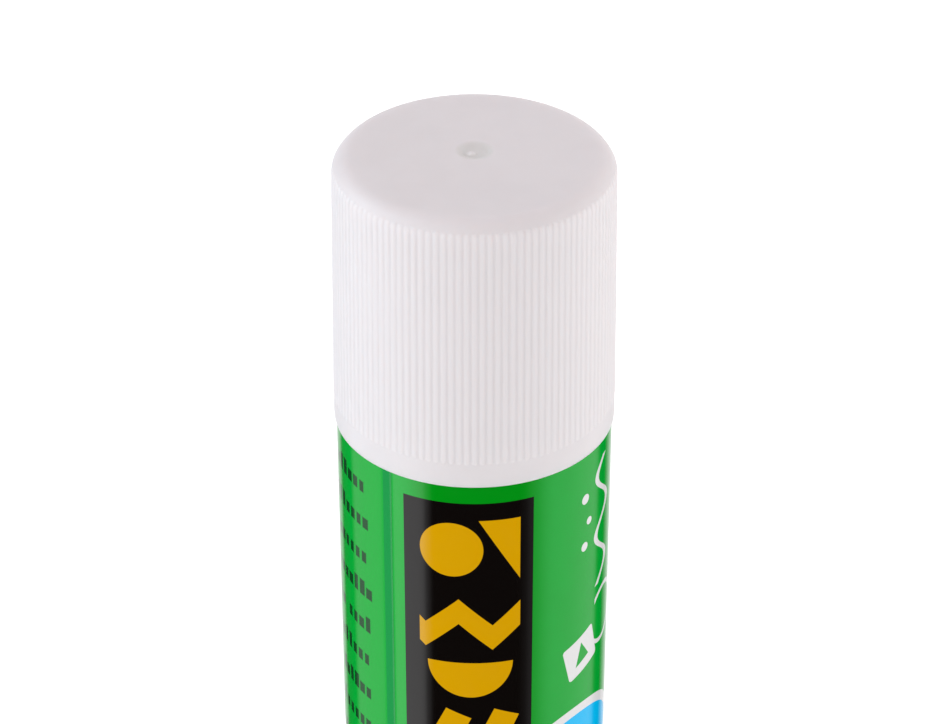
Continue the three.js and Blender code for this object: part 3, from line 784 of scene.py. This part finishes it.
def thread(degrees, z, grow=0.0):
    """Radius of the left-hand thread; grow is the nut's clearance."""
    core, crest, flank, top = 2.15 + grow, 2.85 + grow, 0.5, 1.0 + 2 * grow
    u = np.mod(z + LEAD * np.asarray(degrees) / 360.0, LEAD)
    up = np.clip((u - (LEAD - top - 2 * flank)) / flank, 0.0, 1.0)
    down = np.clip((LEAD - u) / flank, 0.0, 1.0)
    share = np.minimum(up, down)
    return core + (crest - core) * share * share * (3 - 2 * share)


def spindle_offset(degrees, r, z, tag):
    if tag == "neck":
        return np.maximum(hexagon(degrees, r), 3.35) - r
    if tag == "thread":
        cone = np.interp(z, [7.8, 8.8, 9.6], [4.5, 2.6, 1.9])
        trim = 3.85 - (z - 77.7) * 1.147
        return np.maximum(cone, np.minimum(thread(degrees, z), max(trim, 1.9))) - r
    return np.zeros(len(degrees))


def spindle_rows():
    rows = [(0, 2.35), (2.0, 2.35), (3.5, 2.35, "hex"), (3.64, 2.38, "hex"), (3.7, 2.47, "hex"), (3.7, 4.34, "hex"), (3.7, 4.4, "neck"),
            (3.7, 4.58, "neck"), (3.65, 4.67, "neck"), (3.55, 4.7, "neck"), (3.35, 4.73), (3.35, 4.8), (3.35, 7.2), (3.38, 7.33), (3.48, 7.4), (3.6, 7.4),
            (4.34, 7.4), (4.45, 7.43), (4.5, 7.5), (4.5, 7.72), (4.5, 7.79)]
    rows += [(2.0, z, "thread") for z in np.arange(7.85, 79.33, THREAD_STEP)]
    return rows + [(1.88, 79.36), (1.8, 79.4), (1.2, 79.4), (0, 79.4)]


spindle = revolve("spindle_screw", spindle_rows(), np.arange(48) * 7.5, spindle_mat, closed=False, offset=spindle_offset, lean=True)
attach(spindle, "knob"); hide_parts("spindle")


# ------------------------------------------------------------------ carrier: cup with the nut that climbs the spindle, slotted for the keys
def carrier_offset(degrees, r, z, tag):
    if tag == "nut":
        return thread(degrees, z, 0.3) - r
    if tag == "slot":
        out = np.zeros(len(degrees))
        for key in KEYS:
            d = np.abs((degrees - key + 180) % 360 - 180)
            out = np.maximum(out, np.clip((4.95 - d) / 0.15, 0, 1))
        return (min(r, 9.75) - r) * out
    return np.zeros(len(degrees))


def carrier_rows():
    rows = [(2.8, z, "nut") for z in np.arange(9.23, 17.98, THREAD_STEP)]
    rows += [(3.3, 18.0), (4.32, 18.0), (4.45, 17.95), (4.5, 17.84), (4.5, 17.7), (4.5, 10.85), (4.53, 10.7), (4.65, 10.61), (4.8, 10.6),
             (9.05, 10.6), (9.2, 10.61), (9.32, 10.7), (9.35, 10.85), (9.35, 20.6), (9.38, 20.82), (9.46, 20.95), (9.58, 21.0), (9.7, 21.0),
             (10.0, 21.0, "slot"), (10.13, 20.96, "slot"), (10.22, 20.85, "slot"), (10.25, 20.7, "slot"), (10.25, 9.62, "slot"), (10.2, 9.46, "slot"), (10.02, 9.27, "slot"), (9.86, 9.2, "slot"),
             (9.6, 9.2), (3.4, 9.2)]
    return rows


carrier_angles = sorted(set(np.round(np.arange(96) * 3.75, 4)) | {round((k + d) % 360, 4) for k in KEYS for d in (-5.4, -4.95, -4.8, -4.3, 4.3, 4.8, 4.95, 5.4)})
carrier = revolve("carrier_cup", carrier_rows(), carrier_angles, carrier_mat, offset=carrier_offset, lean=True)
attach(carrier, "carrier"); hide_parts("carrier")


# ------------------------------------------------------------------ stage
def plain(name, colour, glow=0.0, rough=0.6):
    m = bpy.data.materials.new(name)
    m.use_nodes = True
    b = m.node_tree.nodes["Principled BSDF"]
    b.inputs["Base Color"].default_value = (*colour, 1)
    b.inputs["Roughness"].default_value = rough
    b.inputs["Specular IOR Level"].default_value = 0.0
    if glow:
        b.inputs["Emission Color"].default_value = (1, 1, 1, 1)
        b.inputs["Emission Strength"].default_value = glow
    return m


def sheet_quad(name, size, material, z=0.0):
    me = bpy.data.meshes.new(name)
    h = size / 2
    me.from_pydata([(-h, -h, z), (h, -h, z), (h, h, z), (-h, h, z)], [], [(0, 1, 2, 3)])
    me.materials.append(material)
    return link(bpy.data.objects.new(name, me))


floor_mat = plain("floor_white", (0.72, 0.72, 0.72), 0.46)
bright = floor_mat.node_tree.nodes.new("ShaderNodeMapRange")    # a little brighter to the eye, so that no horizon shows
glance = floor_mat.node_tree.nodes.new("ShaderNodeLightPath")
bright.inputs["To Min"].default_value = 0.46
bright.inputs["To Max"].default_value = 0.62
floor_mat.node_tree.links.new(glance.outputs["Is Camera Ray"], bright.inputs["Value"])
floor_mat.node_tree.links.new(bright.outputs[0], floor_mat.node_tree.nodes["Principled BSDF"].inputs["Emission Strength"])
floor = sheet_quad("floor", 6.0, floor_mat, -0.00005)


# A hoop round the stick that only reflections meet: it stands for the studio's dark and bright sides.
# Each pair is an azimuth on the hoop and the share of light let through; the film mirrors it at about half that azimuth.
LET_THROUGH = (
    (-180, 0.75), (-149, 0.75), (-137, 0.48), (-131.5, 0.03), (-112, 0.0), (-106, 0.35), (-95, 0.41), (-80, 0.51),        # open rear left, dark stand, pale side wall
    (-74.8, 0.51), (-71.8, 0.23), (-63.9, 0.24), (-61.4, 0.92), (-59.5, 1.0), (-41, 1.0), (-37.4, 0.84), (-35.2, 0.38), (-30.5, 0.0),  # post, strip light at the left front, then the dark front card
    (33, 0.0), (38, 0.06), (41.5, 0.18), (48, 0.30), (53, 0.46), (60, 0.56), (90, 0.56), (106, 0.50),                    # pale right side
    (111, 0.32), (114.5, 0.06), (117.5, 0.0), (127.5, 0.0), (136.5, 0.42), (147, 0.78),                                         # dark stand, open rear right
)


def hoop(radius=45.0, low=-0.5, high=112.0):
    mat = bpy.data.materials.new("hoop_mask")
    mat.use_nodes = True
    nt = mat.node_tree
    nt.nodes.clear()
    out_n = nt.nodes.new("ShaderNodeOutputMaterial")
    dark = nt.nodes.new("ShaderNodeBsdfDiffuse")
    dark.inputs["Color"].default_value = (0.0, 0.0, 0.0, 1)
    clear = nt.nodes.new("ShaderNodeBsdfTransparent")
    blend = nt.nodes.new("ShaderNodeMixShader")
    coord = nt.nodes.new("ShaderNodeTexCoord")
    part = nt.nodes.new("ShaderNodeSeparateXYZ")
    nt.links.new(coord.outputs["Object"], part.inputs[0])
    flip = nt.nodes.new("ShaderNodeMath")
    flip.operation = "MULTIPLY"
    flip.inputs[1].default_value = -1.0
    nt.links.new(part.outputs[1], flip.inputs[0])
    turn = nt.nodes.new("ShaderNodeMath")
    turn.operation = "ARCTAN2"
    nt.links.new(part.outputs[0], turn.inputs[0])
    nt.links.new(flip.outputs[0], turn.inputs[1])
    share = nt.nodes.new("ShaderNodeMapRange")
    share.inputs["From Min"].default_value = -math.pi
    share.inputs["From Max"].default_value = math.pi
    nt.links.new(turn.outputs[0], share.inputs["Value"])
    ramp = nt.nodes.new("ShaderNodeValToRGB")
    stops = ramp.color_ramp.elements
    for i, (azimuth, through) in enumerate(LET_THROUGH):
        place = (azimuth + 180) / 360
        stop = stops[i] if i < 1 else stops.new(place)
        stop.position = place
        stop.color = (through, through, through, 1)
    stops[len(stops) - 1].color = (0.75, 0.75, 0.75, 1)
    nt.links.new(share.outputs[0], ramp.inputs[0])
    nt.links.new(ramp.outputs[0], blend.inputs[0])
    nt.links.new(dark.outputs[0], blend.inputs[1])
    nt.links.new(clear.outputs[0], blend.inputs[2])
    nt.links.new(blend.outputs[0], out_n.inputs[0])
    verts, faces, n = [], [], 120
    for i in range(n):
        a = 2 * math.pi * i / n
        verts += [(radius * math.sin(a) * MM, -radius * math.cos(a) * MM, low * MM), (radius * math.sin(a) * MM, -radius * math.cos(a) * MM, high * MM)]
    for i in range(n):
        j = (i + 1) % n
        faces.append((2 * i, 2 * j, 2 * j + 1, 2 * i + 1))
    me = bpy.data.meshes.new("hoop")
    me.from_pydata(verts, [], faces)
    me.materials.append(mat)
    o = link(bpy.data.objects.new("hoop", me))
    o.visible_camera = False
    o.visible_diffuse = False
    o.visible_transmission = False
    o.visible_volume_scatter = False
    o.visible_shadow = False
    return o


hoop()


def softbox(name, location, target, width, height, power, colour):
    data = bpy.data.lights.new(name, "AREA")
    data.shape = "RECTANGLE"
    data.size, data.size_y = width, height
    data.energy = power
    data.color = colour
    o = link(bpy.data.objects.new(name, data))
    o.location = location
    o.rotation_euler = (Vector(target) - Vector(location)).to_track_quat("-Z", "Y").to_euler()
    o.visible_camera = False
    return o


softbox("softbox_left", (-0.61, 0.05, 0.34), (0, 0, 0.07), 0.5, 0.6, 1.54, (0.86, 0.99, 1.1))
softbox("softbox_right", (0.57, 0.33, 0.16), (0, 0, 0.07), 0.5, 0.3, 1.55, (1.0, 0.985, 0.99)).visible_glossy = False
softbox("softbox_front", (-0.05, -0.9, 0.16), (0, 0, 0.08), 0.6, 0.5, 0.85, (1.0, 0.985, 0.975))
softbox("softbox_top", (0, 0.05, 0.75), (0, 0, 0.09), 0.7, 0.7, 0.22, (1.0, 0.10, 0.18))

world = bpy.data.worlds.new("studio")
bpy.context.scene.world = world
world.use_nodes = True
wt = world.node_tree
wt.nodes.clear()
out = wt.nodes.new("ShaderNodeOutputWorld")
sky = wt.nodes.new("ShaderNodeBackground")
sky.inputs["Color"].default_value = (1.0, 0.985, 0.99, 1)
sky.inputs["Strength"].default_value = 0.70
seen = wt.nodes.new("ShaderNodeBackground")
seen.inputs["Color"].default_value = (1, 1, 1, 1)
seen.inputs["Strength"].default_value = 1.0
path = wt.nodes.new("ShaderNodeLightPath")
pick = wt.nodes.new("ShaderNodeMixShader")
wt.links.new(path.outputs["Is Camera Ray"], pick.inputs[0])
wt.links.new(sky.outputs[0], pick.inputs[1])
wt.links.new(seen.outputs[0], pick.inputs[2])
wt.links.new(pick.outputs[0], out.inputs[0])

scene = bpy.context.scene
scene.view_settings.view_transform = "Standard"
scene.view_settings.look = "None"
scene.view_settings.exposure = 0.0
scene.view_settings.gamma = 1.0

# ------------------------------------------------------------------ camera: the photograph's viewing angle
cam = bpy.data.cameras.new("camera")
cam.sensor_fit = "HORIZONTAL"
cam.sensor_width = 36.0
cam.lens = 118.383
cam.clip_start = 0.01
cam.clip_end = 20.0
cam_obj = link(bpy.data.objects.new("camera", cam))
cam_obj.location = (0.0651 * MM, -248.189 * MM, 234.392 * MM)
cam_obj.rotation_euler = (math.radians(90 - 32.6), 0, 0)
scene.camera = cam_obj
